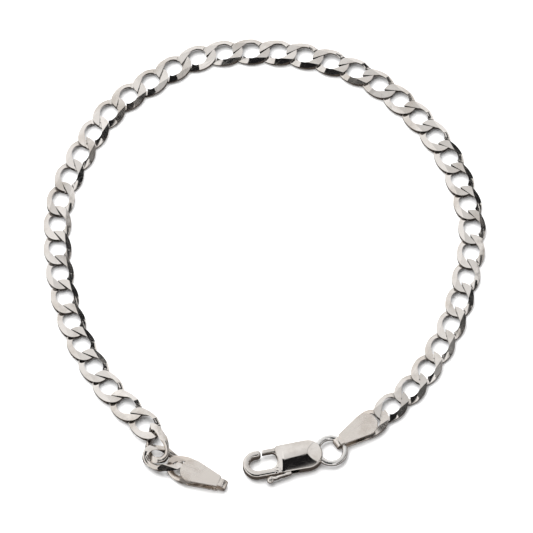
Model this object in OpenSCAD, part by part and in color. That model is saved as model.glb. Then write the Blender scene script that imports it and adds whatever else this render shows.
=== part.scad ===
// Link bracelet: a flat filed curb chain with two folded end tabs, a jump ring and a trigger clasp.
// It lies open on a surface at Z = 0. Every size is in millimetres and every angle in degrees.

/* [Chain] */
// Number of loose links between the two end tabs
link_count = 43; // [38:1:50]
// Outside length of one link
link_length = 6.04; // [5.8:0.01:6.4]
// Outside width of one link
link_width = 4.05; // [3.9:0.01:4.4]
// Width of a link's wire, seen from above
wire_width = 0.93; // [0.8:0.01:1]
// Height of a link's wire before its faces are filed flat
wire_height = 0.84; // [0.7:0.01:0.9]
// How much the wire swells towards the face that is filed, which makes the flats wide
wire_swell = 0.3; // [0.2:0.01:0.36]
// Thickness of the filed chain
chain_thickness = 1.2; // [1:0.01:1.4]
// Width of the flat that is filed on the top and the bottom of a link
flat_width = 2.4; // [2:0.05:2.8]
// Height of the rim that the filed bevels leave along a link's sides
rim_height = 0.4; // [0.2:0.05:0.6]
// Gap between two links that hook through each other
link_clearance = 0.18; // [0.14:0.01:0.24]

/* [End tabs] */
// Height of an end tab over both of its leaves
tab_thickness = 1.7; // [1.5:0.05:2]
// Thickness of each leaf
leaf_thickness = 0.3; // [0.2:0.05:0.4]
// Radius of the leaf's round end, which covers half of the soldered link
leaf_radius = 1.75; // [1.5:0.05:1.9]
// How far the leaf's round end reaches past the middle of the soldered link
leaf_cover = 0.85; // [0.6:0.05:1]
// Distance from the middle of the soldered link to the leaf's narrow end
leaf_reach = 5.1; // [4.8:0.05:5.4]
// Width of the leaf at its narrow end
leaf_neck = 1.75; // [1.6:0.05:2]
// Width of the folded eye
eye_width = 1.3; // [1.1:0.05:1.5]
// Height of the folded eye
eye_height = 1.5; // [1.4:0.05:1.7]
// Thickness of the folded eye's strip
eye_wall = 0.25; // [0.2:0.01:0.3]
// How far the eye stands out past the leaf's narrow end
eye_reach = 1.15; // [1:0.05:1.3]

/* [Jump ring] */
// Outside diameter of the jump ring
ring_diameter = 4.84; // [4.6:0.02:5.4]
// Thickness of the jump ring's round wire
ring_wire = 0.74; // [0.6:0.02:0.8]
// Gap between the ring's wire and the inside of the eye's bend
ring_slack = 0.14; // [0.06:0.02:0.2]

/* [Clasp case] */
// Width of the case, which is also the diameter of its round tail
case_width = 4.3; // [4.1:0.05:4.8]
// Distance from the ring's hole to the front of the case
case_reach = 6.1; // [5.9:0.05:6.6]
// Thickness of the case
case_thickness = 2.2; // [2.1:0.05:2.6]
// Radius of the case's rounded edges
case_edge = 0.58; // [0.3:0.01:0.6]
// Radius of the case's crowned top, from side to side
crown_radius = 6; // [5:0.25:8]
// Thickness of the case at the very end of its tail
tail_thickness = 1.5; // [1.4:0.05:1.8]
// Metal left between the ring's hole and the end of the tail
tail_wall = 0.25; // [0.2:0.01:0.35]
// Gap between the ring's wire and its hole in the tail
ring_hole_gap = 0.08; // [0.06:0.01:0.1]
// Depth of the hollow in the case's front face
front_hollow = 0.3; // [0.1:0.05:0.4]

/* [Clasp hook] */
// Width of the hook's bar, seen from above
hook_width = 0.96; // [0.8:0.02:1.1]
// Height of the hook's bar
hook_height = 1.4; // [1.2:0.05:1.8]
// Radius of the hook's bend, measured to the middle of its bar
hook_radius = 1.58; // [1.5:0.02:1.7]
// Distance from the front of the case to the middle of the hook's bend
hook_reach = 2.77; // [2.6:0.02:3.2]
// How far the hook's nose reaches back from the bend
nose_length = 0.85; // [0.6:0.05:1]

/* [Clasp trigger] */
// Thickness of the trigger
trigger_thickness = 0.9; // [0.7:0.05:1]
// Gap above and below the trigger in its slot
trigger_gap = 0.1; // [0.05:0.01:0.15]
// Diameter of the pin that the trigger turns on
pin_diameter = 0.8; // [0.6:0.02:0.9]
// Gap between the pin and the case
pin_gap = 0.02; // [0.01:0.01:0.04]
// Gap between the pin and the trigger
pin_running_gap = 0.05; // [0.03:0.01:0.06]
// Distance from the pin to the front of the case
pin_setback = 1.63; // [1.5:0.01:1.75]
// Distance from the pin to the outside of the gate
gate_offset = 1; // [0.95:0.01:1.05]
// Width of the gate that closes the hook
gate_width = 0.6; // [0.5:0.02:0.7]
// Gap between the end of the gate and the hook's nose
gate_gap = 0.12; // [0.1:0.01:0.2]
// Width of the lever where it leaves the case
lever_width = 1; // [0.8:0.05:1.1]
// Thickness of the thumb arm along the case's side
arm_thickness = 0.43; // [0.3:0.01:0.5]
// Gap between the thumb arm and the case
arm_gap = 0.17; // [0.12:0.01:0.25]
// Diameter of the thumb knob
knob_diameter = 1; // [0.8:0.05:1.2]
// How far the thumb knob lies in front of the case
knob_reach = 1.37; // [1.2:0.05:1.5]
// How far the trigger turns to open the hook
trigger_travel = 18; // [10:1:19]

/* [Lie] */
// Turn of the clasp's end tab against the start of the chain's route
clasp_tab_turn = -8; // [-10:1:-6]
// Turn of the clasp against its end tab
clasp_turn = -23; // [-26:1:-20]
// How far the ring hangs off the end tab's centre line
ring_drift = 0.4; // [0.2:0.05:0.5]
// How far the ring sits off the clasp's centre line
clasp_drift = 0.18; // [0:0.02:0.3]

/* [Hidden] */
loose_names = [for (k = [1:link_count]) str("link_", k < 10 ? "0" : "", k)];

silver = [0.78, 0.76, 0.74];
dark_silver = [0.62, 0.6, 0.58];
fine_fn = 64;
cut_margin = 1;
cut_size = 4 * (case_reach + link_length);

// Link: the wire follows an ellipse that is twisted up and down twice round its length.
// It swells where its neighbour isn't, so the share of the swelling goes from 0 to 1 with the twist
sweep_stations = 16;
swell_middle = 0.4;
swell_pace = 0.9;
corner_growth = 0.5;
wire_section = [[1, 0], [0.5, 1], [-0.5, 1], [-1, 0], [-0.5, -1], [0.5, -1]];
link_a = (link_length - wire_width) / 2;
link_b = (link_width - wire_width) / 2;
pitch = link_length - 2 * wire_width - link_clearance;
// Half the height between two crossing wires, and the twist that gives it where they cross
crossing_rise = wire_height / 2 + link_clearance;
crossing_angle = acos(pitch / 2 / link_a);
twist_rise = crossing_rise / sin(2 * crossing_angle);
bevel_slope = (chain_thickness - rim_height) / (link_width - flat_width);
ridge = link_width / 2 + rim_height / 2 / bevel_slope;

// Route: chosen points of the middle of the chain, from the clasp's end tab round to the kinked end
// and one past it. The gap between the ends has room for both tabs, the ring and the clasp.
loop_route = [
    [15, -25.5], [20.8, -20], [25, -13.5], [28, -6], [30, 4.5], [28.5, 13], [25, 20.5],
    [19.5, 27], [13.5, 31.5], [6, 34.2], [-2, 35], [-10, 34], [-17, 30], [-23, 25],
    [-27, 18.5], [-30, 11], [-30.5, 3.5], [-29.5, -4.5], [-27.2, -12], [-23, -19.6], [-17.5, -25.8],
    [-12, -32]
];
route_centre = [-0.28, 0.49];
span_steps = 10;
last_point = len(loop_route) - 1;
route_line = concat(
    [for (i = [0:last_point - 1], n = [0:span_steps - 1]) curve_point(i, n / span_steps)],
    [loop_route[last_point]]
);
route_run = [for (i = 0, s = 0; i < len(route_line);
    s = i + 1 < len(route_line) ? s + norm(route_line[i + 1] - route_line[i]) : s, i = i + 1) s];
x_along = [for (i = [0:len(route_line) - 1]) [route_run[i], route_line[i].x - route_centre.x]];
y_along = [for (i = [0:len(route_line) - 1]) [route_run[i], route_line[i].y - route_centre.y]];
loop_run = 191.64;

// Kinked end: the last loose links and then the catch tab, set against the last link of the route.
// Lengths are shares of the chain's pitch: [along, left, up, roll, tip, turn]
kinked_end = [
    [0.88, -0.22, 0.128, 44, 7, -28.5],
    [1.46, -0.43, 0.012, -8.5, 6.5, 30],
    [2.345, -0.085, 0, 0, 0, 24.5]
];
kink_rise = 0.1;
kinked_links = len(kinked_end) - 1;
routed_links = link_count - kinked_links;
clasp_run = 2 * (leaf_reach + eye_reach) + ring_diameter + case_reach + hook_reach + hook_radius;
route_scale = (routed_links * pitch + clasp_run) / loop_run;
route_start = spot(0);
route_end = spot(routed_links * pitch);
end_heading = heading(routed_links * pitch);

// Heights at which the chain and the tabs lie; the chain eases up to both of its ends,
// and a small lift keeps the corners of its tilted links off the surface
chain_lift = 0.015;
chain_mid = chain_thickness / 2;
tab_mid = tab_thickness / 2;
ease_links = 4;
start_rise = tab_mid - chain_mid;
end_rise = kink_rise * pitch;

// End tabs
leaf_x = leaf_radius - leaf_cover;
leaf_slant = norm([leaf_reach - leaf_x, leaf_neck / 2]);
leaf_taper = asin(leaf_radius / leaf_slant) - atan2(leaf_neck / 2, leaf_reach - leaf_x);
eye_lap = 0.8;
bend_x = leaf_reach + eye_reach - eye_height / 2;
eye_end = leaf_reach + eye_reach - eye_wall;
tab_heading = heading(0) + 180 + clasp_tab_turn;

// Jump ring: it runs through the eye at one side and through the clasp's tail at the other
ring_mid = (ring_diameter - ring_wire) / 2;
eye_side = ring_drift + eye_width / 2;
ring_along = eye_end - ring_slack - ring_wire / 2 / cos(asin(eye_side / ring_mid))
    + sqrt(pow(ring_mid, 2) - pow(eye_side, 2));
ring_spot = route_start + turned([ring_along, ring_drift], tab_heading);
clasp_heading = tab_heading + clasp_turn;
case_mid = case_thickness / 2;
eye_direction = tab_heading + 180 + asin(ring_drift / ring_mid);
tail_direction = clasp_heading + asin(clasp_drift / ring_mid);
ring_rise = (case_mid - tab_mid) / (1 - cos(eye_direction - tail_direction));
ring_tilt = asin(ring_rise / ring_mid);

// Clasp, in a frame whose origin is the ring's hole and whose X runs to the hook
clasp_spot = ring_spot + turned([sqrt(pow(ring_mid, 2) - pow(clasp_drift, 2)), clasp_drift], clasp_heading);
ring_hole = ring_wire / 2 + ring_hole_gap;
tail_end = -ring_hole - tail_wall;
half_width = case_width / 2;
shoulder_x = tail_end + half_width;
front_bow = (pow(half_width, 2) + pow(front_hollow, 2)) / 2 / front_hollow;
hook_side = half_width - hook_width / 2;
bend_centre = [case_reach + hook_reach, hook_side - hook_radius];
nose_y = bend_centre.y - hook_radius;
nose_tip = bend_centre.x - nose_length;

// Trigger, in a frame whose origin is its pin
pin_spot = [case_reach - pin_setback, nose_y - hook_width / 2 + gate_offset];
pin_end = 0.4;
pin_cover = 0.35;
pin_start = 0.05;
hub_radius = pin_diameter / 2 + 0.35;
gate_end = nose_tip - pin_spot.x - gate_gap;
gate_step = 1;
gate_slope = 0.12;
lever_back = -0.2;
lever_front = lever_back + lever_width;
side_y = half_width - pin_spot.y;
arm_y = side_y + arm_gap;
knob_x = pin_setback + knob_reach;

// Slot for the trigger, which leaves room for the lever to swing back
slot_room = 0.25;
slot_height = trigger_thickness + 2 * trigger_gap;
slot_back = lever_back * cos(trigger_travel) - side_y * sin(trigger_travel) - slot_room;
slot_front = lever_front + slot_room;
slot_north = -hub_radius - trigger_gap;

function turned(p, angle) = [p.x * cos(angle) - p.y * sin(angle), p.x * sin(angle) + p.y * cos(angle)];
function point_before(i) = i > 0 ? loop_route[i - 1] : 2 * loop_route[0] - loop_route[1];
function point_after(i) = i <= last_point ? loop_route[i] : 2 * loop_route[last_point] - loop_route[last_point - 1];
function curve_point(i, t) =
    let (a = point_before(i), b = loop_route[i], c = loop_route[i + 1], d = point_after(i + 2))
    0.5 * (2 * b + (c - a) * t + (2 * a - 5 * b + 4 * c - d) * pow(t, 2) + (3 * b - a - 3 * c + d) * pow(t, 3));
function spot(s) = route_scale * [lookup(s / route_scale, x_along), lookup(s / route_scale, y_along)];
function heading(s) =
    let (step = spot(s + pitch / 2) - spot(s - pitch / 2))
    atan2(step.y, step.x);
function ease(links_away) = pow(max(0, 1 - max(0, links_away) / ease_links), 2);
function rise(k) = start_rise * ease(k) + end_rise * ease(routed_links - k);
function tip_angle(k) = atan((rise(k - 1) - rise(k + 1)) / 2 / pitch);
function link_centre(t) = [link_a * cos(t), link_b * sin(t), -twist_rise * sin(2 * t)];
function link_normal(t) =
    let (n = [link_b * cos(t), link_a * sin(t), 0])
    n / norm(n);

function swelling(t, side) =
    side == 0 ? 0 : min(1, max(0, swell_middle - swell_pace * side * sin(2 * t)));

module link_wire() {
    sides = len(wire_section);
    points = [for (j = [0:sweep_stations - 1], p = wire_section)
        let (t = 360 * j / sweep_stations, share = swelling(t, p.y))
        link_centre(t) + link_normal(t) * p.x * (1 + corner_growth * share) * wire_width / 2
            + [0, 0, p.y * (wire_height / 2 + wire_swell * share)]];
    faces = [for (j = [0:sweep_stations - 1], i = [0:sides - 1], half = [0, 1])
        let (here = j * sides, next = (j + 1) % sweep_stations * sides, up = (i + 1) % sides)
        half == 0 ? [here + i, here + up, next + up] : [here + i, next + up, next + i]];
    polyhedron(points, faces);
}

module filed_faces() {
    rotate([90, 0, 90])
        linear_extrude(link_length + cut_margin, center = true)
            polygon([for (side = [1, -1], p = [[ridge, 0], [flat_width / 2, chain_mid], [-flat_width / 2, chain_mid]])
                side * p]);
}

module filed_link() {
    intersection() {
        link_wire();
        filed_faces();
    }
}

module routed_link(k) {
    s = k * pitch;
    translate([spot(s).x, spot(s).y, chain_mid + chain_lift + rise(k)])
        rotate([0, tip_angle(k), heading(s)])
            filed_link();
}

module at_kink(place, height) {
    p = route_end + turned([place[0] * pitch, place[1] * pitch], end_heading);
    translate([p.x, p.y, height + place[2] * pitch])
        rotate([place[3], place[4], end_heading + place[5]])
            children();
}

module loose_link(k) {
    color(silver)
        if (k <= routed_links)
            routed_link(k);
        else
            at_kink(kinked_end[k - routed_links - 1], chain_mid + chain_lift + end_rise)
                filed_link();
}

module leaf() {
    tangent = leaf_radius * [sin(leaf_taper), cos(leaf_taper)];
    linear_extrude(leaf_thickness) {
        translate([leaf_x, 0])
            circle(leaf_radius, $fn = fine_fn);
        polygon([
            [leaf_x + tangent.x, tangent.y], [leaf_reach, leaf_neck / 2],
            [leaf_reach, -leaf_neck / 2], [leaf_x + tangent.x, -tangent.y]
        ]);
    }
}

module hairpin(height, start_x) {
    translate([bend_x, 0])
        circle(height / 2, $fn = fine_fn);
    translate([start_x, -height / 2])
        square([bend_x - start_x, height]);
}

module folded_eye() {
    eye_start = leaf_reach - eye_lap;
    translate([0, 0, tab_mid])
        rotate([90, 0, 0])
            linear_extrude(eye_width, center = true)
                difference() {
                    hairpin(eye_height, eye_start);
                    hairpin(eye_height - 2 * eye_wall, eye_start - cut_margin);
                }
}

module end_tab() {
    leaf();
    translate([0, 0, tab_thickness - leaf_thickness])
        leaf();
    folded_eye();
    translate([0, 0, tab_mid])
        filed_link();
}

module clasp_end_tab() {
    color(silver)
        translate(route_start)
            rotate(tab_heading)
                end_tab();
}

module catch_tab() {
    color(silver)
        at_kink(kinked_end[kinked_links], 0)
            end_tab();
}

module ring_tube(radius) {
    translate([ring_spot.x, ring_spot.y, case_mid - ring_rise])
        rotate([0, -ring_tilt, tail_direction])
            rotate_extrude($fn = fine_fn)
                translate([ring_mid, 0])
                    circle(radius, $fn = fine_fn);
}

module jump_ring() {
    color(silver)
        ring_tube(ring_wire / 2);
}

module at_clasp() {
    translate(clasp_spot)
        rotate(clasp_heading)
            children();
}

module at_pin() {
    at_clasp()
        translate(pin_spot)
            children();
}

module edge_section() {
    for (side = [1, -1], level = [case_edge, case_thickness - case_edge])
        translate([side * (half_width - case_edge), level])
            circle(case_edge, $fn = fine_fn);
    translate([case_edge - half_width, 0])
        square([case_width - 2 * case_edge, case_thickness]);
    translate([-half_width, case_edge])
        square([case_width, case_thickness - 2 * case_edge]);
}

module side_profile() {
    front_x = case_reach - case_edge;
    for (level = [case_edge, case_thickness - case_edge])
        translate([front_x, level])
            circle(case_edge, $fn = fine_fn);
    translate([shoulder_x, case_edge])
        square([case_reach - shoulder_x, case_thickness - 2 * case_edge]);
    polygon([
        [tail_end, case_mid - tail_thickness / 2], [shoulder_x, 0], [front_x, 0],
        [front_x, case_thickness], [shoulder_x, case_thickness], [tail_end, case_mid + tail_thickness / 2]
    ]);
}

module case_block() {
    translate([shoulder_x, 0, 0]) {
        rotate_extrude($fn = fine_fn)
            intersection() {
                edge_section();
                square([half_width, case_thickness]);
            }
        rotate([90, 0, 90])
            linear_extrude(case_reach - shoulder_x)
                edge_section();
    }
}

module case() {
    difference() {
        intersection() {
            case_block();
            rotate([90, 0, 0])
                linear_extrude(2 * case_width, center = true)
                    side_profile();
            translate([tail_end - cut_margin, 0, case_thickness - crown_radius])
                rotate([0, 90, 0])
                    cylinder(case_reach - tail_end + 2 * cut_margin, r = crown_radius, $fn = 2 * fine_fn);
        }
        translate([case_reach - front_hollow + front_bow, 0, -cut_margin])
            cylinder(case_thickness + 2 * cut_margin, r = front_bow, $fn = 2 * fine_fn);
    }
}

module bar_section() {
    for (side = [1, -1])
        translate([0, side * (hook_height - hook_width) / 2])
            circle(hook_width / 2, $fn = fine_fn);
    square([hook_width, hook_height - hook_width], center = true);
}

module hook_bar(from_x, to_x, y) {
    translate([from_x, y, case_mid])
        rotate([90, 0, 90])
            linear_extrude(to_x - from_x)
                bar_section();
}

module hook_nose() {
    translate([nose_tip + hook_width / 2, nose_y, case_mid])
        rotate_extrude($fn = fine_fn)
            intersection() {
                bar_section();
                translate([0, -hook_height])
                    square([hook_width, 2 * hook_height]);
            }
}

module hook() {
    hook_bar(case_reach - pin_setback + slot_front, bend_centre.x, hook_side);
    translate([bend_centre.x, bend_centre.y, case_mid])
        rotate(-90)
            rotate_extrude(angle = 180, $fn = 2 * fine_fn)
                translate([hook_radius, 0])
                    bar_section();
    hook_bar(nose_tip + hook_width / 2, bend_centre.x, nose_y);
    hook_nose();
}

module trigger_slot() {
    translate([0, 0, case_mid - slot_height / 2])
        linear_extrude(slot_height) {
            translate([slot_back, slot_north])
                square([pin_setback + cut_margin - slot_back, hook_side - hook_width / 2 - pin_spot.y - slot_north]);
            translate([slot_back, 0])
                square([slot_front - slot_back, cut_size]);
            translate([gate_step - slot_room / 2, -cut_size])
                square([pin_setback + cut_margin - gate_step, cut_size]);
        }
}

module clasp_body() {
    color(silver)
        difference() {
            at_clasp() {
                case();
                hook();
            }
            at_pin() {
                trigger_slot();
                translate([0, 0, -cut_margin])
                    cylinder(cut_margin + case_thickness - pin_cover, d = pin_diameter + 2 * pin_gap, $fn = fine_fn);
            }
            ring_tube(ring_hole);
        }
}

module clasp_pin() {
    color(dark_silver)
        at_pin()
            translate([0, 0, pin_start])
                cylinder(case_thickness - pin_end - pin_start, d = pin_diameter, $fn = fine_fn);
}

module gate_plan() {
    intersection() {
        polygon([
            [0, -hub_radius], [gate_step, -hub_radius], [gate_step + gate_slope, -gate_offset],
            [gate_end + cut_margin, -gate_offset], [gate_end + cut_margin, gate_width - gate_offset],
            [gate_step + gate_slope, gate_width - gate_offset], [0, hub_radius]
        ]);
        circle(gate_end, $fn = 2 * fine_fn);
    }
}

module lever_plan() {
    polygon([
        [-hub_radius, 0], [hub_radius, 0], [lever_front, side_y], [lever_front, arm_y], [knob_x, arm_y],
        [knob_x, arm_y + arm_thickness], [lever_back, arm_y + arm_thickness], [lever_back, side_y]
    ]);
}

module clasp_trigger() {
    color(silver)
        at_pin()
            difference() {
                union() {
                    translate([0, 0, case_mid - trigger_thickness / 2])
                        linear_extrude(trigger_thickness) {
                            circle(hub_radius, $fn = fine_fn);
                            gate_plan();
                            lever_plan();
                        }
                    translate([knob_x, arm_y + arm_thickness, case_mid])
                        sphere(d = knob_diameter, $fn = fine_fn);
                }
                cylinder(case_thickness, d = pin_diameter + 2 * pin_running_gap, $fn = fine_fn);
            }
}

for (k = [1:link_count])
    loose_link(k);
clasp_end_tab();
catch_tab();
jump_ring();
clasp_body();
clasp_pin();
clasp_trigger();
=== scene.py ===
import math

import bmesh
import bpy
import numpy as np
from mathutils import Matrix, Vector


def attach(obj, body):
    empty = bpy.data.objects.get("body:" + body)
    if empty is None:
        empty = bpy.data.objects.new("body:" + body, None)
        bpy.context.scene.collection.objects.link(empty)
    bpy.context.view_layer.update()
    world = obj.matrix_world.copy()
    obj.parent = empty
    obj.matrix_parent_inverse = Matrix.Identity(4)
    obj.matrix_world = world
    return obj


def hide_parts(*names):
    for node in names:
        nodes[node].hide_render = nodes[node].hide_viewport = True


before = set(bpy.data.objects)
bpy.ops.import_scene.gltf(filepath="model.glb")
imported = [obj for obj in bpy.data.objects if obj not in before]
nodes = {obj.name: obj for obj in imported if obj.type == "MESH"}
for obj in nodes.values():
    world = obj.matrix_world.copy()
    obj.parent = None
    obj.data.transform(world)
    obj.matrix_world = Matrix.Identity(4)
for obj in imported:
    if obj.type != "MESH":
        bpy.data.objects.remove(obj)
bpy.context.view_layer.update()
mm = 0.001
looseLinks = sorted(name for name in nodes if name.startswith("link_"))
print("frame loaded:", len(nodes), "solids,", len(looseLinks), "loose links")


# camera: the photograph looks down at 64 degrees from the south side

view = dict(lookAt=(0.00028, -0.00047, 0.0), elevation=64.0, distance=1.0, pixelsPerMm=6.86, imageSize=533,
            nearest=0.05, farthest=20.0)

cameraData = bpy.data.cameras.new("camera")
cameraData.angle = 2 * math.atan(view["imageSize"] / 2 / view["pixelsPerMm"] * mm / view["distance"])
cameraData.clip_start = view["nearest"]
cameraData.clip_end = view["farthest"]
camera = bpy.data.objects.new("camera", cameraData)
rise = math.radians(view["elevation"])
towardCamera = Vector((0, -math.cos(rise), math.sin(rise)))
camera.location = Vector(view["lookAt"]) + towardCamera * view["distance"]
camera.rotation_euler = towardCamera.to_track_quat("Z", "Y").to_euler()
bpy.context.scene.collection.objects.link(camera)
bpy.context.scene.camera = camera


# small helpers for node trees

def addNode(tree, kind, inputs=None, **settings):
    node = tree.nodes.new(kind)
    for name, value in settings.items():
        setattr(node, name, value)
    for name, value in (inputs or {}).items():
        if isinstance(value, bpy.types.NodeSocket):
            tree.links.new(value, node.inputs[name])
        else:
            node.inputs[name].default_value = value
    return node


def mathNode(tree, operation, *values):
    return addNode(tree, "ShaderNodeMath", dict(enumerate(values)), operation=operation).outputs[0]


def rangeNode(tree, value, low, high, toLow=0.0, toHigh=1.0, smooth=True):
    inputs = {"Value": value, "From Min": low, "From Max": high, "To Min": toLow, "To Max": toHigh}
    kind = "SMOOTHSTEP" if smooth else "LINEAR"
    return addNode(tree, "ShaderNodeMapRange", inputs, interpolation_type=kind).outputs["Result"]


def mixColours(tree, factor, first, second, blend="MIX"):
    node = addNode(tree, "ShaderNodeMix", data_type="RGBA", blend_type=blend)
    for socket, value in ((node.inputs[0], factor), (node.inputs[6], first), (node.inputs[7], second)):
        if isinstance(value, bpy.types.NodeSocket):
            tree.links.new(value, socket)
        else:
            socket.default_value = value
    return node.outputs[2]


def asGrey(tree, value):
    return addNode(tree, "ShaderNodeCombineXYZ", {0: value, 1: value, 2: value}).outputs[0]


# light: a white tent that is greyer where the flats look, with a dark patch round the camera and dark cards
# in the east; reaches and edges are measured on a sphere of radius 1

tent = dict(white=0.9, grey=0.77, greyFrom=0.06, greyReach=0.36,
            slant=0.3, slantReach=0.09, slantFrom=0.1,
            dark=0.012, darkBlue=1.1, darkMiddle=-0.125, darkHalfWidth=0.3, darkNorth=0.27, darkSouth=-0.82,
            darkHeight=(0.3, 0.4), edge=0.02, sideEdge=0.05, southEdge=0.08,
            cardSize=4.4, cardShare=0.44, cardSeed=3.0, cardEast=(0.4, 0.5),
            belowNear=(0.075, 0.065, 0.058), belowFar=(0.8, 0.78, 0.76), belowHeight=(-0.75, -0.1),
            horizon=0.05)


def darkPatch(tree, east, north, up):
    half = tent["darkHalfWidth"]
    offMiddle = mathNode(tree, "ABSOLUTE", mathNode(tree, "SUBTRACT", east, tent["darkMiddle"]))
    sideways = rangeNode(tree, offMiddle, half, half + tent["sideEdge"], 1.0, 0.0)
    southOf = rangeNode(tree, north, tent["darkNorth"], tent["darkNorth"] + tent["edge"], 1.0, 0.0)
    northOf = rangeNode(tree, north, tent["darkSouth"] - tent["southEdge"], tent["darkSouth"])
    overhead = rangeNode(tree, up, *tent["darkHeight"])
    return mathNode(tree, "MULTIPLY", mathNode(tree, "MULTIPLY", sideways, southOf),
                    mathNode(tree, "MULTIPLY", northOf, overhead))


def darkCards(tree, direction, east):
    spots = addNode(tree, "ShaderNodeTexNoise", {
        "Vector": direction, "Scale": tent["cardSize"], "W": tent["cardSeed"], "Detail": 0.0},
        noise_dimensions="4D").outputs["Fac"]
    cards = rangeNode(tree, spots, tent["cardShare"], tent["cardShare"] + tent["edge"])
    return mathNode(tree, "MULTIPLY", cards, rangeNode(tree, east, *tent["cardEast"]))


def makeTent():
    world = bpy.data.worlds.new("studioTent")
    bpy.context.scene.world = world
    world.use_nodes = True
    tree = world.node_tree
    tree.nodes.clear()
    direction = addNode(tree, "ShaderNodeTexCoord").outputs["Generated"]
    parts = addNode(tree, "ShaderNodeSeparateXYZ", {0: direction})
    east, north, up = parts.outputs[0], parts.outputs[1], parts.outputs[2]
    # level flats mirror this direction to the camera
    mirrored = (0, math.cos(rise), math.sin(rise))
    fromFlats = addNode(tree, "ShaderNodeVectorMath", {0: direction, 1: mirrored},
                        operation="DISTANCE").outputs["Value"]
    level = rangeNode(tree, fromFlats, tent["greyFrom"], tent["greyReach"], tent["grey"], tent["white"])
    # near it the tent is a little brighter in the west, so leaning links differ from one another
    slant, reach = tent["slant"], tent["slantReach"]
    slope = rangeNode(tree, east, -reach, reach, slant, -slant, smooth=False)
    nearFlats = rangeNode(tree, fromFlats, tent["slantFrom"], tent["greyReach"], 1.0, 0.0)
    level = mathNode(tree, "MULTIPLY", level, mathNode(tree, "MULTIPLY_ADD", slope, nearFlats, 1.0))
    shade = mathNode(tree, "MAXIMUM", darkPatch(tree, east, north, up), darkCards(tree, direction, east))
    black = (tent["dark"], tent["dark"], tent["dark"] * tent["darkBlue"], 1)
    upper = mixColours(tree, shade, (1, 1, 1, 1), black)
    upper = mixColours(tree, 1.0, upper, asGrey(tree, level), "MULTIPLY")
    lower = mixColours(tree, rangeNode(tree, up, *tent["belowHeight"]), (*tent["belowNear"], 1),
                       (*tent["belowFar"], 1))
    colour = mixColours(tree, rangeNode(tree, up, -tent["horizon"], tent["horizon"]), lower, upper)
    background = addNode(tree, "ShaderNodeBackground", {"Color": colour, "Strength": 1.0})
    addNode(tree, "ShaderNodeOutputWorld", {"Surface": background.outputs[0]})


softbox = dict(power=12.0, size=0.8, place=(-0.15, 0.25, 0.7))


def makeLamp():
    data = bpy.data.lights.new("softbox", "AREA")
    data.size = softbox["size"]
    data.energy = softbox["power"]
    lamp = bpy.data.objects.new("softbox", data)
    lamp.location = softbox["place"]
    lamp.rotation_euler = Vector(softbox["place"]).to_track_quat("Z", "Y").to_euler()
    lamp.visible_glossy = False
    bpy.context.scene.collection.objects.link(lamp)


ground = dict(reach=2.0, tone=0.94, roughness=0.9)


def makeFloor():
    reach = ground["reach"]
    corners = [(-reach, -reach, 0), (reach, -reach, 0), (reach, reach, 0), (-reach, reach, 0)]
    mesh = bpy.data.meshes.new("floor")
    mesh.from_pydata(corners, [], [(0, 1, 2, 3)])
    floor = bpy.data.objects.new("floor", mesh)
    bpy.context.scene.collection.objects.link(floor)
    material = bpy.data.materials.new("floorPaint")
    material.use_nodes = True
    shader = material.node_tree.nodes["Principled BSDF"]
    shader.inputs["Base Color"].default_value = (ground["tone"], ground["tone"], ground["tone"], 1)
    shader.inputs["Roughness"].default_value = ground["roughness"]
    shader.inputs["Specular IOR Level"].default_value = 0.0
    mesh.materials.append(material)
    # the silver mirrors the tent's underside and not the floor
    floor.visible_glossy = False


makeTent()
makeLamp()
makeFloor()
bpy.context.scene.view_settings.view_transform = "Standard"
print("camera, tent and floor made")


# shared effects

scratchLook = dict(turns=(0.35, 1.5, 2.5), line=(0.56, 0.74), detail=2.0, roughness=0.6)
cloudLook = dict(size=260.0, low=0.4, high=0.68, detail=4.0, roughness=0.55)


def newGroup(name, inputs):
    # reads a place and some values, and puts out a mask
    group = bpy.data.node_groups.new(name, "ShaderNodeTree")
    group.interface.new_socket("Vector", in_out="INPUT", socket_type="NodeSocketVector")
    for socketName, value in inputs.items():
        socket = group.interface.new_socket(socketName, in_out="INPUT", socket_type="NodeSocketFloat")
        socket.default_value = value
    group.interface.new_socket("Mask", in_out="OUTPUT", socket_type="NodeSocketFloat")
    return group, group.nodes.new("NodeGroupInput"), group.nodes.new("NodeGroupOutput")


def scratchGroup():
    # hair-fine scratches from wear and polishing, in three directions
    group, start, end = newGroup("hairScratches", {"Density": 900.0, "Stretch": 14.0, "Amount": 0.5})
    total = None
    for turn in scratchLook["turns"]:
        turned = addNode(group, "ShaderNodeVectorRotate", {"Vector": start.outputs["Vector"], "Angle": turn},
                         rotation_type="Z_AXIS")
        stretch = mathNode(group, "DIVIDE", 1.0, start.outputs["Stretch"])
        scale = addNode(group, "ShaderNodeCombineXYZ", {0: stretch, 1: 1.0, 2: stretch})
        narrow = addNode(group, "ShaderNodeVectorMath", {0: turned.outputs[0], 1: scale.outputs[0]},
                         operation="MULTIPLY")
        noise = addNode(group, "ShaderNodeTexNoise", {
            "Vector": narrow.outputs[0], "Scale": start.outputs["Density"],
            "Detail": scratchLook["detail"], "Roughness": scratchLook["roughness"]})
        line = rangeNode(group, noise.outputs["Fac"], *scratchLook["line"])
        total = line if total is None else mathNode(group, "MAXIMUM", total, line)
    result = mathNode(group, "MULTIPLY", total, start.outputs["Amount"])
    group.links.new(result, end.inputs["Mask"])
    return group


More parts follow.
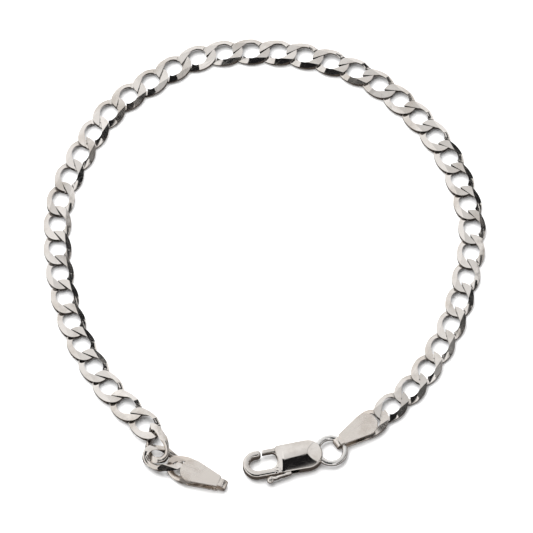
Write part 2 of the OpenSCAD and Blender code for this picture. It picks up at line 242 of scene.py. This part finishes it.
def cloudGroup():
    # soft patches where the polish is hazier or a little tarnished
    group, start, end = newGroup("softClouding", {
        "Size": cloudLook["size"], "Low": cloudLook["low"], "High": cloudLook["high"]})
    noise = addNode(group, "ShaderNodeTexNoise", {
        "Vector": start.outputs["Vector"], "Scale": start.outputs["Size"],
        "Detail": cloudLook["detail"], "Roughness": cloudLook["roughness"]})
    soft = rangeNode(group, noise.outputs["Fac"], start.outputs["Low"], start.outputs["High"])
    group.links.new(soft, end.inputs["Mask"])
    return group


scratches = scratchGroup()
clouds = cloudGroup()


# metals: polish is the roughness between the scratches, haze what the clouds add to it, depth is in metres

# each metal's share for marked walls sets how strongly they get the painted shade and tarnish
metals = dict(
    linkSilver=dict(colour=(0.93, 0.885, 0.84), tarnish=(0.76, 0.70, 0.64), polish=0.1, haze=0.12,
                    scratch=0.35, density=1500.0, stretch=16.0, depth=0.000004, perLink=0.06, tarnishAndShade=0.85),
    tabSilver=dict(colour=(0.92, 0.86, 0.80), tarnish=(0.78, 0.70, 0.63), polish=0.24, haze=0.06,
                   scratch=0.25, density=1300.0, stretch=20.0, depth=0.000002, perLink=0.0, tarnishAndShade=0.85),
    claspSilver=dict(colour=(0.85, 0.81, 0.77), tarnish=(0.70, 0.65, 0.60), polish=0.06, haze=0.06,
                     scratch=0.2, density=1300.0, stretch=18.0, depth=0.000004, perLink=0.0, tarnishAndShade=0.0),
    wireSilver=dict(colour=(0.91, 0.895, 0.875), tarnish=(0.76, 0.72, 0.68), polish=0.19, haze=0.1,
                    scratch=0.3, density=1300.0, stretch=18.0, depth=0.000003, perLink=0.0, tarnishAndShade=0.0),
    pinSilver=dict(colour=(0.66, 0.64, 0.62), tarnish=(0.45, 0.43, 0.41), polish=0.28, haze=0.2,
                   scratch=0.5, density=1800.0, stretch=8.0, depth=0.000005, perLink=0.0, tarnishAndShade=0.0),
)
# the first colour below is the near-black of a painted shade, with a little tarnish, for the walls of seams,
# openings and ends
allMetals = dict(tarnishAndShadeColour=(0.06, 0.05, 0.045), scratchRoughness=0.25, bumpStrength=0.6)


def makeMetal(name):
    look = metals[name]
    material = bpy.data.materials.new(name)
    material.use_nodes = True
    tree = material.node_tree
    shader = tree.nodes["Principled BSDF"]
    place = addNode(tree, "ShaderNodeTexCoord").outputs["Object"]
    cloud = addNode(tree, "ShaderNodeGroup", node_tree=clouds)
    tree.links.new(place, cloud.inputs["Vector"])
    scratch = addNode(tree, "ShaderNodeGroup", node_tree=scratches)
    tree.links.new(place, scratch.inputs["Vector"])
    for socketName, key in (("Density", "density"), ("Stretch", "stretch"), ("Amount", "scratch")):
        scratch.inputs[socketName].default_value = look[key]
    colour = mixColours(tree, cloud.outputs["Mask"], (*look["colour"], 1), (*look["tarnish"], 1))
    if look["perLink"]:
        tone = addNode(tree, "ShaderNodeAttribute", attribute_name="tone").outputs["Fac"]
        level = rangeNode(tree, tone, 0.0, 1.0, 1.0 - look["perLink"], 1.0, smooth=False)
        colour = mixColours(tree, 1.0, colour, asGrey(tree, level), "MULTIPLY")
    # painted shade with some tarnish: marked walls are mixed towards that near-black colour
    if look["tarnishAndShade"]:
        walls = addNode(tree, "ShaderNodeAttribute", attribute_name="tarnishAndShade").outputs["Fac"]
        walls = mathNode(tree, "MULTIPLY", walls, look["tarnishAndShade"])
        colour = mixColours(tree, walls, colour, (*allMetals["tarnishAndShadeColour"], 1))
    hazed = mathNode(tree, "MULTIPLY_ADD", cloud.outputs["Mask"], look["haze"], look["polish"])
    rough = mathNode(tree, "MULTIPLY_ADD", scratch.outputs["Mask"], allMetals["scratchRoughness"], hazed)
    bump = addNode(tree, "ShaderNodeBump", {
        "Height": scratch.outputs["Mask"], "Strength": allMetals["bumpStrength"], "Distance": look["depth"]},
        invert=True)
    tree.links.new(colour, shader.inputs["Base Color"])
    tree.links.new(rough, shader.inputs["Roughness"])
    tree.links.new(bump.outputs["Normal"], shader.inputs["Normal"])
    shader.inputs["Metallic"].default_value = 1.0
    return material


silver = {name: makeMetal(name) for name in metals}
print("metals made:", ", ".join(silver))


# reading the solids

def solidCorners(name):
    # the three corners of each of the solid's triangles, in millimetres
    mesh = nodes[name].data
    mesh.calc_loop_triangles()
    points = np.zeros(len(mesh.vertices) * 3)
    mesh.vertices.foreach_get("co", points)
    triangles = np.zeros(len(mesh.loop_triangles) * 3, np.int32)
    mesh.loop_triangles.foreach_get("vertices", triangles)
    return points.reshape(-1, 3)[triangles].reshape(-1, 3, 3) / mm


def solidAxes(name):
    # where a closed solid's middle is and how it is turned, from how its volume is spread: the sixth, the
    # quarter and the twentieth are those of the tetrahedron between a triangle and the origin
    corners = solidCorners(name)
    origin = corners.mean((0, 1))
    corners = corners - origin
    volumes = np.einsum("ij,ij->i", corners[:, 0], np.cross(corners[:, 1], corners[:, 2])) / 6
    sums = corners.sum(1)
    middle = (sums / 4 * volumes[:, None]).sum(0) / volumes.sum()
    spread = np.einsum("t,tci,tcj->ij", volumes, corners, corners)
    spread = spread + np.einsum("t,ti,tj->ij", volumes, sums, sums)
    spread = spread / 20 - volumes.sum() * np.outer(middle, middle)
    axes = np.linalg.eigh(spread)[1]
    thin = axes[:, 0] * np.sign(axes[2, 0])
    length = axes[:, 2]
    return (middle + origin) * mm, length, np.cross(thin, length), thin


# helpers for objects and meshes

def looks(obj, body, slot, *replaced):
    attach(obj, body)
    if replaced:
        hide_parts(*replaced)


def paint(mesh, metal):
    mesh.materials.clear()
    mesh.materials.append(silver[metal])


def newObject(name, mesh):
    obj = bpy.data.objects.new(name, mesh)
    bpy.context.scene.collection.objects.link(obj)
    return obj


def settle(obj):
    # the finished shape becomes the object's own plain mesh
    bpy.context.view_layer.update()
    graph = bpy.context.evaluated_depsgraph_get()
    mesh = bpy.data.meshes.new_from_object(obj.evaluated_get(graph), depsgraph=graph)
    obj.modifiers.clear()
    obj.data = mesh
    return obj


def cutWith(obj, tool, operation):
    cut = obj.modifiers.new("cut", "BOOLEAN")
    cut.operation = operation
    cut.solver = "EXACT"
    cut.object = tool
    settle(obj)
    bpy.data.objects.remove(tool)
    return obj


def softenEdges(obj, width, segments, angle):
    bevel = obj.modifiers.new("softEdge", "BEVEL")
    bevel.width = width * mm
    bevel.segments = segments
    bevel.limit_method = "ANGLE"
    bevel.angle_limit = math.radians(angle)
    return settle(obj)


def outwards(mesh, sameSpot=1e-7):
    # merges doubled points and turns the faces outwards
    shape = bmesh.new()
    shape.from_mesh(mesh)
    bmesh.ops.remove_doubles(shape, verts=shape.verts, dist=sameSpot)
    bmesh.ops.recalc_face_normals(shape, faces=shape.faces)
    shape.to_mesh(mesh)
    shape.free()


def shadeByAngle(mesh, degrees=30):
    mesh.polygons.foreach_set("use_smooth", [True] * len(mesh.polygons))
    mesh.set_sharp_from_angle(angle=math.radians(degrees))


def triangleCount(obj):
    return sum(len(p.vertices) - 2 for p in obj.data.polygons)


def squarer(value, roundness):
    # a cosine or sine whose outline is a circle at roundness 2 and squarer above it
    return math.copysign(abs(value) ** (2 / roundness), value)


def tubeMesh(name, points, stations, sides):
    # a closed ring of wire, from points that run round one section after another
    faces = []
    for j in range(stations):
        here, onward = j * sides, (j + 1) % stations * sides
        for i in range(sides):
            after = (i + 1) % sides
            faces.append((here + i, onward + i, onward + after, here + after))
    mesh = bpy.data.meshes.new(name)
    mesh.from_pydata(points, [], faces)
    outwards(mesh)
    return mesh


def loft(name, low, lowZ, high, highZ):
    # a closed solid between two outlines with the same number of points
    count = len(low)
    points = [(x * mm, y * mm, lowZ * mm) for x, y in low] + [(x * mm, y * mm, highZ * mm) for x, y in high]
    faces = [(i, (i + 1) % count, (i + 1) % count + count, i + count) for i in range(count)]
    mesh = bpy.data.meshes.new(name)
    mesh.from_pydata(points, [], faces + [tuple(range(count))[::-1], tuple(range(count, 2 * count))])
    outwards(mesh)
    return newObject(name, mesh)


# the filed curb link: a flat ring from which its two neighbours have taken their share

link = dict(length=6.04, width=4.05, thickness=1.2, flat=2.4, rim=0.4, pitch=4.0, endFlat=0.045,
            endDraft=0.5, hole=(1.13, 1.08), holeRoundness=2.2, holeDraft=0.75, seam=38.0, gap=0.16,
            pastMiddle=0.03, softEdge=0.035, edgeSteps=2, edgeAngle=20, points=72,
            facetX=0.36, facetY=0.42, facetStart=0.25, facetSide=0.6, facetEnd=2.2,
            smoothAngle=24, filedAcross=0.01, filedUp=0.85, tarnishAndShadeTilt=0.35, tarnishAndShadeReach=1.55)


def linkOutline(grow=0.0, draft=0.0, shift=0.0):
    # the link seen from above: an ellipse whose ends are a little flat
    halfLength, halfWidth = link["length"] / 2 + grow - draft, link["width"] / 2 + grow
    turns = [2 * math.pi * i / link["points"] for i in range(link["points"])]
    return [(shift + halfLength * math.cos(t) * (1 - link["endFlat"] * math.cos(t) ** 8),
             halfWidth * math.sin(t)) for t in turns]


def holeOutline(grow=0.0):
    halfLength, halfWidth = link["hole"]
    turns = [2 * math.pi * (i + 0.5) / link["points"] for i in range(link["points"])]
    return [((halfLength + grow) * squarer(math.cos(t), link["holeRoundness"]),
             (halfWidth + grow) * squarer(math.sin(t), link["holeRoundness"])) for t in turns]


def beyondSeam(outline):
    # the part of the next link's outline that lies above the seam between the two links
    slope = math.tan(math.radians(link["seam"]))
    offset = link["gap"] / 2 / math.cos(math.radians(link["seam"]))
    over = [y - slope * (x - link["pitch"] / 2) + offset for x, y in outline]
    kept = []
    for i, (x, y) in enumerate(outline):
        lastX, lastY = outline[i - 1]
        if over[i] * over[i - 1] < 0:
            share = over[i - 1] / (over[i - 1] - over[i])
            kept.append((lastX + (x - lastX) * share, lastY + (y - lastY) * share))
        if over[i] >= 0:
            kept.append((x, y))
    return kept


def filedFaces():
    # the two flats and the four bevels that the filing leaves, as one long prism
    slope = (link["thickness"] - link["rim"]) / (link["width"] - link["flat"])
    ridge = link["width"] / 2 + link["rim"] / 2 / slope
    side, top = link["flat"] / 2, link["thickness"] / 2
    outline = [(ridge, 0), (side, top), (-side, top), (-ridge, 0), (-side, -top), (side, -top)]
    filed = loft("filed", outline, -link["length"], outline, link["length"])
    # turned so that it runs along the link
    filed.data.transform(Matrix(((0, 0, 1, 0), (1, 0, 0, 0), (0, 1, 0, 0), (0, 0, 0, 1))))
    return filed


def risingFacet(side):
    # what is cut off where the wire comes up from under its neighbour
    start, end = link["facetStart"], link["facetEnd"]
    outline = [(side * x, side * y) for x, y in ((-start, link["facetSide"]), (end, link["facetSide"]),
                                                 (end, link["width"]), (-start, link["width"]))]
    wedge = loft("wedge", outline, 0.0, outline, 2 * link["thickness"])
    for point in wedge.data.vertices:
        if point.co.z == 0:
            x, y = side * point.co.x / mm, side * point.co.y / mm
            point.co.z = (link["thickness"] / 2 - link["facetX"] * (x - start)
                          - link["facetY"] * (y - link["flat"] / 2)) * mm
    return wedge


def finishLink(body, name):
    # the filed faces are truly flat, so they keep their own normals right up to the soft edges
    mesh = body.data
    mesh.name = name
    shadeByAngle(mesh, link["smoothAngle"])
    # painted shade, partly tarnish: the walls of the seams, the opening and the ends are marked here and
    # darkened to near-black by the metal
    tarnishAndShade = mesh.attributes.new("tarnishAndShade", "FLOAT", "FACE")
    for face in mesh.polygons:
        filed = abs(face.normal.x) < link["filedAcross"] and abs(face.normal.z) > link["filedUp"]
        face.use_smooth = not filed
        inside = abs(face.center.y) < link["tarnishAndShadeReach"] * mm and abs(face.normal.z) < link["tarnishAndShadeTilt"]
        tarnishAndShade.data[face.index].value = float(inside)
    return body


def linkObject():
    tall, past = link["thickness"], link["pastMiddle"]
    body = loft("body", linkOutline(draft=link["endDraft"]), -tall, linkOutline(), tall)
    cutWith(body, loft("opening", holeOutline(link["holeDraft"]), -tall, holeOutline(), tall), "DIFFERENCE")
    top = beyondSeam(linkOutline(grow=link["gap"], shift=link["pitch"]))
    bottom = beyondSeam(linkOutline(grow=link["gap"], draft=link["endDraft"], shift=link["pitch"]))
    for side in (1, -1):
        over = [(side * x, side * y) for x, y in top]
        under = [(side * x, -side * y) for x, y in bottom]
        cutWith(body, loft("over", over, -past, over, 2 * tall), "DIFFERENCE")
        cutWith(body, loft("under", under, -2 * tall, under, past), "DIFFERENCE")
        cutWith(body, risingFacet(side), "DIFFERENCE")
    cutWith(body, filedFaces(), "INTERSECT")
    softenEdges(body, link["softEdge"], link["edgeSteps"], link["edgeAngle"])
    return finishLink(body, "straightLink")


# the same link where the chain is kinked and its neighbours don't cover it: a twisted wire, filed flat

wire = dict(width=0.93, height=0.84, clearance=0.18, swell=0.3, swellMiddle=0.4, swellPace=0.9,
            roundness=2.3, cornerGrowth=3.5, stations=72, sides=28)


def wireLinkObject():
    halfLength, halfWidth = (link["length"] - wire["width"]) / 2, (link["width"] - wire["width"]) / 2
    crossing = math.acos(link["pitch"] / 2 / halfLength)
    twist = (wire["height"] / 2 + wire["clearance"]) / math.sin(2 * crossing)
    points = []
    for j in range(wire["stations"]):
        t = 2 * math.pi * j / wire["stations"]
        outward = Vector((halfWidth * math.cos(t), halfLength * math.sin(t), 0)).normalized()
        centre = Vector((halfLength * math.cos(t), halfWidth * math.sin(t), -twist * math.sin(2 * t)))
        for i in range(wire["sides"]):
            u = 2 * math.pi * i / wire["sides"]
            # the side that the filing takes off is taller and squarer
            share = wire["swellMiddle"] - wire["swellPace"] * math.copysign(1, math.sin(u)) * math.sin(2 * t)
            share = min(1, max(0, share))
            roundness = wire["roundness"] + wire["cornerGrowth"] * share
            across = squarer(math.cos(u), roundness) * wire["width"] / 2
            high = squarer(math.sin(u), roundness) * (wire["height"] / 2 + wire["swell"] * share)
            points.append((centre + outward * across + Vector((0, 0, high))) * mm)
    mesh = tubeMesh("wire", points, wire["stations"], wire["sides"])
    return finishLink(cutWith(newObject("wire", mesh), filedFaces(), "INTERSECT"), "kinkedLink")


straightLink = linkObject()
kinkedLink = wireLinkObject()
print("links made:", triangleCount(straightLink), "and", triangleCount(kinkedLink), "triangles")


# the chain: one link set at every loose link's place. A link is kinked where it lies more than kinkAngle
# degrees off the chain's line, or where its flat side looks up by less than kinkLean; wobble is in radians

chain = dict(wobble=0.028, seed=7, kinkAngle=16.0, kinkLean=0.99)


def chainTree():
    tree = bpy.data.node_groups.new("linksOnPlaces", "GeometryNodeTree")
    sockets = {}
    for name, kind, value in (("Places", "NodeSocketGeometry", None), ("Straight", "NodeSocketObject", None),
                              ("Kinked", "NodeSocketObject", None), ("Wobble", "NodeSocketFloat", 0.01),
                              ("Seed", "NodeSocketInt", 1), ("Metal", "NodeSocketMaterial", None)):
        socket = tree.interface.new_socket(name, in_out="INPUT", socket_type=kind)
        if value is not None:
            socket.default_value = value
        sockets[name] = socket.identifier
    tree.interface.new_socket("Chain", in_out="OUTPUT", socket_type="NodeSocketGeometry")
    start, end = tree.nodes.new("NodeGroupInput"), tree.nodes.new("NodeGroupOutput")
    turn = addNode(tree, "GeometryNodeInputNamedAttribute", {"Name": "turn"}, data_type="FLOAT_VECTOR")
    turned = addNode(tree, "FunctionNodeEulerToRotation", {0: turn.outputs["Attribute"]})
    # each link leans a little at random about its own length and width
    least = mathNode(tree, "MULTIPLY", start.outputs["Wobble"], -1.0)
    ends = [addNode(tree, "ShaderNodeCombineXYZ", {0: v, 1: v, 2: 0.0}).outputs[0]
            for v in (least, start.outputs["Wobble"])]
    shake = addNode(tree, "FunctionNodeRandomValue", {
        "Min": ends[0], "Max": ends[1], "Seed": start.outputs["Seed"]}, data_type="FLOAT_VECTOR")
    shaken = addNode(tree, "FunctionNodeEulerToRotation", {0: shake.outputs[0]})
    both = addNode(tree, "FunctionNodeRotateRotation", {
        "Rotation": turned.outputs[0], "Rotate By": shaken.outputs[0]}, rotation_space="LOCAL")
    kinked = addNode(tree, "GeometryNodeInputNamedAttribute", {"Name": "kinked"}, data_type="FLOAT")
    placed = addNode(tree, "GeometryNodeJoinGeometry")
    for name, operation in (("Straight", "LESS_THAN"), ("Kinked", "GREATER_THAN")):
        shape = addNode(tree, "GeometryNodeObjectInfo", {"Object": start.outputs[name]},
                        transform_space="ORIGINAL")
        chosen = mathNode(tree, operation, kinked.outputs["Attribute"], 0.5)
        some = addNode(tree, "GeometryNodeInstanceOnPoints", {
            "Points": start.outputs["Places"], "Selection": chosen, "Instance": shape.outputs["Geometry"],
            "Rotation": both.outputs[0]})
        tree.links.new(some.outputs[0], placed.inputs[0])
    tone = addNode(tree, "FunctionNodeRandomValue", {"Seed": start.outputs["Seed"]}, data_type="FLOAT")
    toned = addNode(tree, "GeometryNodeStoreNamedAttribute", {
        "Geometry": placed.outputs[0], "Name": "tone", "Value": tone.outputs[1]},
        domain="INSTANCE", data_type="FLOAT")
    real = addNode(tree, "GeometryNodeRealizeInstances", {"Geometry": toned.outputs[0]})
    metal = addNode(tree, "GeometryNodeSetMaterial", {
        "Geometry": real.outputs[0], "Material": start.outputs["Metal"]})
    tree.links.new(metal.outputs[0], end.inputs[0])
    return tree, sockets


def linkPlaces():
    # a point for every loose link, which knows how the link is turned and whether the chain is kinked there
    places = [solidAxes(name) for name in looseLinks]
    mesh = bpy.data.meshes.new("linkPlaces")
    mesh.from_pydata([tuple(place[0]) for place in places], [], [])
    mesh.attributes.new("turn", "FLOAT_VECTOR", "POINT")
    mesh.attributes.new("kinked", "FLOAT", "POINT")
    for i, (middle, length, width, thin) in enumerate(places):
        turn = Matrix(np.column_stack((length, width, thin)).tolist()).to_euler()
        mesh.attributes["turn"].data[i].vector = turn
        onward = Vector(places[max(0, i - 1)][0]) - Vector(places[min(len(places) - 1, i + 1)][0])
        bend = math.degrees(math.acos(min(1, abs(onward.normalized().dot(Vector(length))))))
        kinked = bend > chain["kinkAngle"] or thin[2] < chain["kinkLean"]
        mesh.attributes["kinked"].data[i].value = float(kinked)
    return mesh


def makeChain():
    obj = newObject("chain", linkPlaces())
    tree, sockets = chainTree()
    modifier = obj.modifiers.new("links", "NODES")
    modifier.node_group = tree
    for name, value in (("Straight", straightLink), ("Kinked", kinkedLink), ("Wobble", chain["wobble"]),
                        ("Seed", chain["seed"]), ("Metal", silver["linkSilver"])):
        modifier[sockets[name]] = value
    return settle(obj)


chainObject = makeChain()
looks(chainObject, "bracelet", "polished_silver", *looseLinks)
print("chain made:", len(looseLinks), "links,", triangleCount(chainObject), "triangles")


# end tabs: two leaves, the folded eye strip and the soldered link

tab = dict(thickness=1.7, leafThickness=0.3, leafRadius=1.75, leafCover=0.85, leafReach=5.1, leafNeck=1.75,
           leafSteps=64, eyeWidth=1.3, eyeHeight=1.5, eyeWall=0.25, eyeReach=1.15, eyeLap=0.8,
           eyeSteps=(24, 20), softEdge=0.07, eyeEdge=0.04, flatNormal=0.99)


def prism(name, outline, low, high, edge, plane="flat"):
    # a flat outline given thickness, with softened edges; "side" stands it up along the tab
    shape = bmesh.new()
    place = (lambda u, v, w: (u, v, w)) if plane == "flat" else (lambda u, v, w: (u, -w, v))
    rings = [[shape.verts.new(Vector(place(u, v, w)) * mm) for u, v in outline] for w in (low, high)]
    shape.faces.new(rings[0][::-1])
    shape.faces.new(rings[1])
    for i in range(len(outline)):
        j = (i + 1) % len(outline)
        shape.faces.new((rings[0][i], rings[0][j], rings[1][j], rings[1][i]))
    bmesh.ops.recalc_face_normals(shape, faces=shape.faces)
    mesh = bpy.data.meshes.new(name)
    shape.to_mesh(mesh)
    shape.free()
    return softenEdges(newObject(name, mesh), edge, segments=3, angle=40)


def arc(centre, radius, start, end, steps):
    turns = [math.radians(start + (end - start) * i / steps) for i in range(steps + 1)]
    return [(centre[0] + radius * math.cos(t), centre[1] + radius * math.sin(t)) for t in turns]


def leafOutline():
    # a round end over the link, narrowing in straight sides to the neck at the eye
    radius, neckX = tab["leafRadius"], tab["leafReach"]
    x = radius - tab["leafCover"]
    far, half = neckX - x, tab["leafNeck"] / 2
    taper = math.degrees(math.asin(radius / math.hypot(far, half)) - math.atan2(half, far))
    return [*arc((x, 0), radius, 90 - taper, 270 + taper, tab["leafSteps"]), (neckX, -half), (neckX, half)]


def eyeOutline():
    bend = tab["leafReach"] + tab["eyeReach"] - tab["eyeHeight"] / 2
    start = tab["leafReach"] - tab["eyeLap"]
    outer, inner = tab["eyeHeight"] / 2, tab["eyeHeight"] / 2 - tab["eyeWall"]
    outerSteps, innerSteps = tab["eyeSteps"]
    return [(start, -outer), *arc((bend, 0), outer, -90, 90, outerSteps), (start, outer),
            (start, inner), *arc((bend, 0), inner, 90, -90, innerSteps), (start, -inner)]


def makeTab(name, endLink):
    half, leaf, eyeSide = tab["thickness"] / 2, tab["leafThickness"], tab["eyeWidth"] / 2
    obj = prism(name, leafOutline(), -half, leaf - half, tab["softEdge"])
    for other in (prism("upperLeaf", leafOutline(), half - leaf, half, tab["softEdge"]),
                  prism("eyeStrip", eyeOutline(), -eyeSide, eyeSide, tab["eyeEdge"], "side"),
                  newObject("endLink", endLink.data.copy())):
        cutWith(obj, other, "UNION")
    # the tab's own place: its middle line runs from the link's middle to the tip of the eye
    middle, length, width, thin = solidAxes(name)
    along = (solidCorners(name).reshape(-1, 3) * mm - middle) @ length
    if along.max() < -along.min():
        length, along = -length, -along
    width = np.cross(thin, length)
    start = middle + length * (along.max() - (tab["leafReach"] + tab["eyeReach"]) * mm)
    turn = Matrix(np.column_stack((length, width, thin)).tolist()).to_4x4()
    obj.data.transform(Matrix.Translation(Vector(start)) @ turn)
    shadeByAngle(obj.data)
    for face in obj.data.polygons:
        face.use_smooth = abs(face.normal.z) < tab["flatNormal"]
    paint(obj.data, "tabSilver")
    looks(obj, "bracelet", "tab_silver", name)
    print(name, "made:", triangleCount(obj), "triangles")


makeTab("clasp_end_tab", straightLink)
makeTab("catch_tab", kinkedLink)
bpy.data.objects.remove(straightLink)
bpy.data.objects.remove(kinkedLink)


# jump ring, its wire a little squarer than round

ring = dict(diameter=4.84, wire=0.79, roundness=2.5, around=128, sides=32)


def makeRing():
    middle, first, second, thin = (Vector(part) for part in solidAxes("jump_ring"))
    outside, half = ring["diameter"] / 2 * mm, ring["wire"] / 2 * mm
    points = []
    for j in range(ring["around"]):
        t = 2 * math.pi * j / ring["around"]
        out = first * math.cos(t) + second * math.sin(t)
        for i in range(ring["sides"]):
            u = 2 * math.pi * i / ring["sides"]
            across = half * squarer(math.cos(u), ring["roundness"])
            high = half * squarer(math.sin(u), ring["roundness"])
            points.append(middle + out * (outside - half + across) + thin * high)
    mesh = tubeMesh("ringWire", points, ring["around"], ring["sides"])
    mesh.polygons.foreach_set("use_smooth", [True] * len(mesh.polygons))
    paint(mesh, "wireSilver")
    obj = newObject("ring", mesh)
    looks(obj, "bracelet", "polished_silver", "jump_ring")
    print("ring made:", triangleCount(obj), "triangles")


makeRing()


# clasp: cast pieces with softened edges, shaped in millimetres in a frame whose origin is the pin, where x
# runs to the hook and y to the south; level is the height of its middle plane, front the case's front wall

cast = dict(heading=191.25, level=1.1, front=1.63, voxel=0.045, smoothing=6, smoothShare=0.5,
            fillReach=0.35, fillSink=0.2, fillEdge=0.1, fillSteps=12)
claspTurn = Matrix.Rotation(math.radians(cast["heading"]), 3, "Z")
claspOrigin = Vector((*solidAxes("clasp_pin")[0][:2], 0))


def smoothStep(low, high, value):
    share = np.clip((value - low) / (high - low), 0, 1)
    return share * share * (3 - 2 * share)


def cornerFill(name, x, y, radius, height):
    # a hollow round corner between a bar that lies at y and the front of the case
    back, sunk = x - cast["fillReach"], y + cast["fillSink"]
    outline = [(back, sunk), (x + radius, sunk),
               *arc((x + radius, y - radius), radius, 90, 180, cast["fillSteps"]), (back, y - radius)]
    return prism(name, outline, cast["level"] - height, cast["level"] + height, cast["fillEdge"])


def intoClasp(obj):
    obj.data.transform(Matrix.Translation(claspOrigin) @ claspTurn.to_4x4())
    return obj


def softCast(name, body, fill, shape):
    mesh = nodes[name].data.copy()
    outwards(mesh)
    obj = cutWith(newObject(name + "_cast", mesh), fill, "UNION")
    remesh = obj.modifiers.new("melt", "REMESH")
    remesh.mode = "VOXEL"
    remesh.voxel_size = cast["voxel"] * mm
    remesh.use_smooth_shade = True
    settle(obj)
    mesh = obj.data
    mesh.transform(claspTurn.to_4x4().inverted() @ Matrix.Translation(-claspOrigin))
    points = np.zeros(len(mesh.vertices) * 3)
    mesh.vertices.foreach_get("co", points)
    points = points.reshape(-1, 3) / mm
    shape(*points.T)
    mesh.vertices.foreach_set("co", points.ravel() * mm)
    intoClasp(obj)
    smooth = obj.modifiers.new("tumble", "SMOOTH")
    smooth.factor = cast["smoothShare"]
    smooth.iterations = cast["smoothing"]
    settle(obj)
    paint(obj.data, "claspSilver")
    looks(obj, body, "clasp_silver", name)
    print(name, "made:", triangleCount(obj), "triangles")


# the case and the hook are one casting; roundFrom and roundOver are shares of the case's half width

case = dict(middle=0.97, halfWidth=2.15, topFrom=0.2, topFull=0.8, topPast=0.05, frontPast=0.1,
            twist=0.014, twistFrom=0.8, twistFade=0.6, hollow=0.3, lipLength=0.9, lipDrop=0.34, lipFloor=1.8,
            roundCorner=0.55, roundFrom=0.7, roundOver=0.3)
hook = dict(half=0.48, straight=0.22, power=4.0, bend=(4.4, 1.06), bendRadius=1.58, noseEnd=4.03,
            growFrom=0.1, grown=0.5, fillBack=0.1, fillRadius=0.95, fillHeight=0.62)


def hookFill():
    bar = hook["bend"][1] + hook["bendRadius"] - hook["half"]
    start = cast["front"] - hook["fillBack"]
    return intoClasp(cornerFill("hookFill", start, bar, hook["fillRadius"], hook["fillHeight"]))


def shapeCase(x, y, z):
    level, front, past = cast["level"], cast["front"], cast["front"] + case["frontPast"]
    across = (y - case["middle"]) / case["halfWidth"]
    # the top has a slight twist
    top = smoothStep(level + case["topFrom"], level + case["topFull"], z) * (x < front + case["topPast"])
    fade = smoothStep(front, front - case["twistFade"], x)
    z += top * case["twist"] * (x - case["twistFrom"]) * (y - case["middle"]) * fade
    # and a lip that falls away to the hollow front
    hollow = front - case["hollow"] * (1 - across ** 2)
    lip = np.clip((x - hollow + case["lipLength"]) / case["lipLength"], 0, 1) ** 2 * case["lipDrop"]
    z[:] = np.where((x < past) & (z > case["lipFloor"]), np.maximum(z - lip, case["lipFloor"]), z)
    # the free front corner is round, seen from above
    beyond = np.clip((-across - case["roundFrom"]) / case["roundOver"], 0, 1)
    corner = front - case["roundCorner"] * beyond ** 2
    x[:] = np.where((across < -case["roundFrom"]) & (x < past), np.minimum(x, corner), x)


def shapeHook(x, y, z):
    # the bar is filed flatter on top than a round wire, from a little way past the case's front
    level, (bendX, bendY), radius = cast["level"], hook["bend"], hook["bendRadius"]
    away = np.abs(np.where(x > bendX, np.hypot(x - bendX, y - bendY), np.abs(y - bendY)) - radius)
    nose = (y < bendY) & (x < hook["noseEnd"])
    away = np.where(nose, np.hypot(x - hook["noseEnd"], y - bendY + radius), away)
    reach = np.clip(away / hook["half"], 0, 1)
    fuller = hook["straight"] + hook["half"] * (1 - reach ** hook["power"]) ** (1 / hook["power"])
    high = np.abs(z - level)
    raised = np.where(high > hook["straight"], np.maximum(fuller, high) - high, 0)
    growth = smoothStep(cast["front"] + hook["growFrom"], cast["front"] + hook["grown"], x)
    z += np.sign(z - level) * raised * growth


def shapeBody(x, y, z):
    shapeCase(x, y, z)
    shapeHook(x, y, z)


softCast("clasp_body", "bracelet", hookFill(), shapeBody)


# the trigger: the thumb arm is thin beside the case, bows out and is thick again at the knob

lever = dict(gateInside=-0.4, fillBack=0.25, fillRadius=0.8, fillHeight=0.42, armInside=3.29, armBlend=0.15,
             knob=(3.0, 3.72), knobClear=(0.5, 1.1), thinAt=(-0.2, 0.9, 2.4), thin=(0.28, 0.62, 1.0),
             bow=0.16, bowAt=(1.3, 2.5), lowAt=(-0.2, 0.7, 2.6), low=(0.5, 0.9, 0.72))


def gateFill():
    # the same corner on the trigger's gate, which is turned over
    start = cast["front"] - lever["fillBack"]
    fill = cornerFill("gateFill", start, -lever["gateInside"], lever["fillRadius"], lever["fillHeight"])
    fill.data.transform(Matrix.Scale(-1, 4, (0, 1, 0)))
    fill.data.flip_normals()
    return intoClasp(fill)


def shapeLever(x, y, z):
    level, inside, (knobX, knobY) = cast["level"], lever["armInside"], lever["knob"]
    fromKnob = np.sqrt((x - knobX) ** 2 + (y - knobY) ** 2 + (z - level) ** 2)
    share = smoothStep(inside - lever["armBlend"], inside, y) * smoothStep(*lever["knobClear"], fromKnob)
    thin = np.interp(x, lever["thinAt"], lever["thin"])
    low = np.interp(x, lever["lowAt"], lever["low"])
    bow = lever["bow"] * smoothStep(*lever["bowAt"], x)
    y += share * ((y - inside) * (thin - 1) + bow)
    z += share * (z - level) * (low - 1)


softCast("clasp_trigger", "trigger", gateFill(), shapeLever)
paint(nodes["clasp_pin"].data, "pinSilver")

print("all pieces made")
